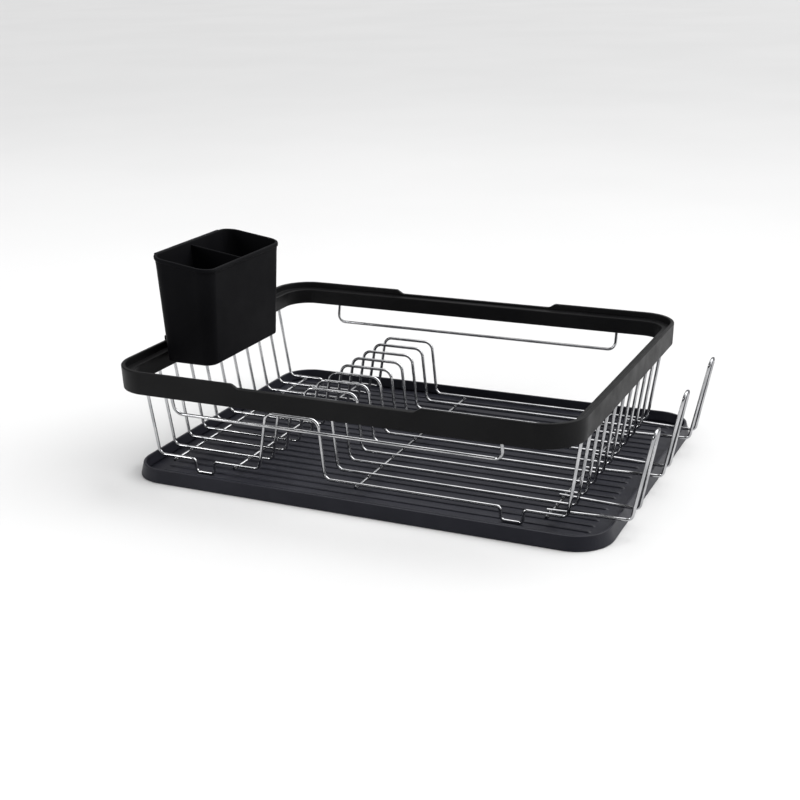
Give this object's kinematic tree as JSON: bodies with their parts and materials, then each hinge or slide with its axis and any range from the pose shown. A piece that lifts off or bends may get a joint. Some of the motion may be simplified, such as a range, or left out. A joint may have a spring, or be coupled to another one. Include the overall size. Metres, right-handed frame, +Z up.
{
  "type": "dish drying rack",
  "caption": "Wire dish drying rack with a plastic rim, plate hump and mug pegs, standing in a ribbed drain tray, with a divided utensil cup hooked on the rim.",
  "frame": {"origin": "centre of the drain tray's footprint, on the surface it stands on", "axes": "+X along the length towards the mug pegs, -Y is the front, +Z up"},
  "size_m": [0.5008, 0.3566, 0.205],
  "materials": {
    "chrome_wire": "bright polished",
    "rim_plastic": "satin moulded",
    "tray_plastic": "satin moulded",
    "cup_plastic": "fine matte grain"
  },
  "bodies": {
    "tray": {"drain_tray": "tray_plastic"},
    "rack": {"rim_band": "rim_plastic", "rim_hoop": "chrome_wire", "long_wire_01": "chrome_wire", "long_wire_02": "chrome_wire", "long_wire_03": "chrome_wire", "long_wire_04": "chrome_wire", "long_wire_05": "chrome_wire", "long_wire_06": "chrome_wire", "long_wire_07": "chrome_wire", "long_wire_08": "chrome_wire", "long_wire_09": "chrome_wire", "long_wire_10": "chrome_wire", "long_wire_11": "chrome_wire", "cross_wire_left": "chrome_wire", "cross_wire_hump_left": "chrome_wire", "cross_wire_hump_right": "chrome_wire", "cross_wire_right": "chrome_wire", "guard_front": "chrome_wire", "guard_rear": "chrome_wire", "mug_peg_front": "chrome_wire", "mug_peg_middle": "chrome_wire", "mug_peg_rear": "chrome_wire"},
    "cup": {"utensil_cup": "cup_plastic"}
  },
  "joints": [
    {"name": "rack_lift", "type": "slide", "parent": "tray", "child": "rack", "axis": [0, 0, 1], "range_m": [0, 0.12]},
    {"name": "cup_lift", "type": "slide", "parent": "rack", "child": "cup", "axis": [0, 0, 1], "range_m": [0, 0.1]}
  ]
}
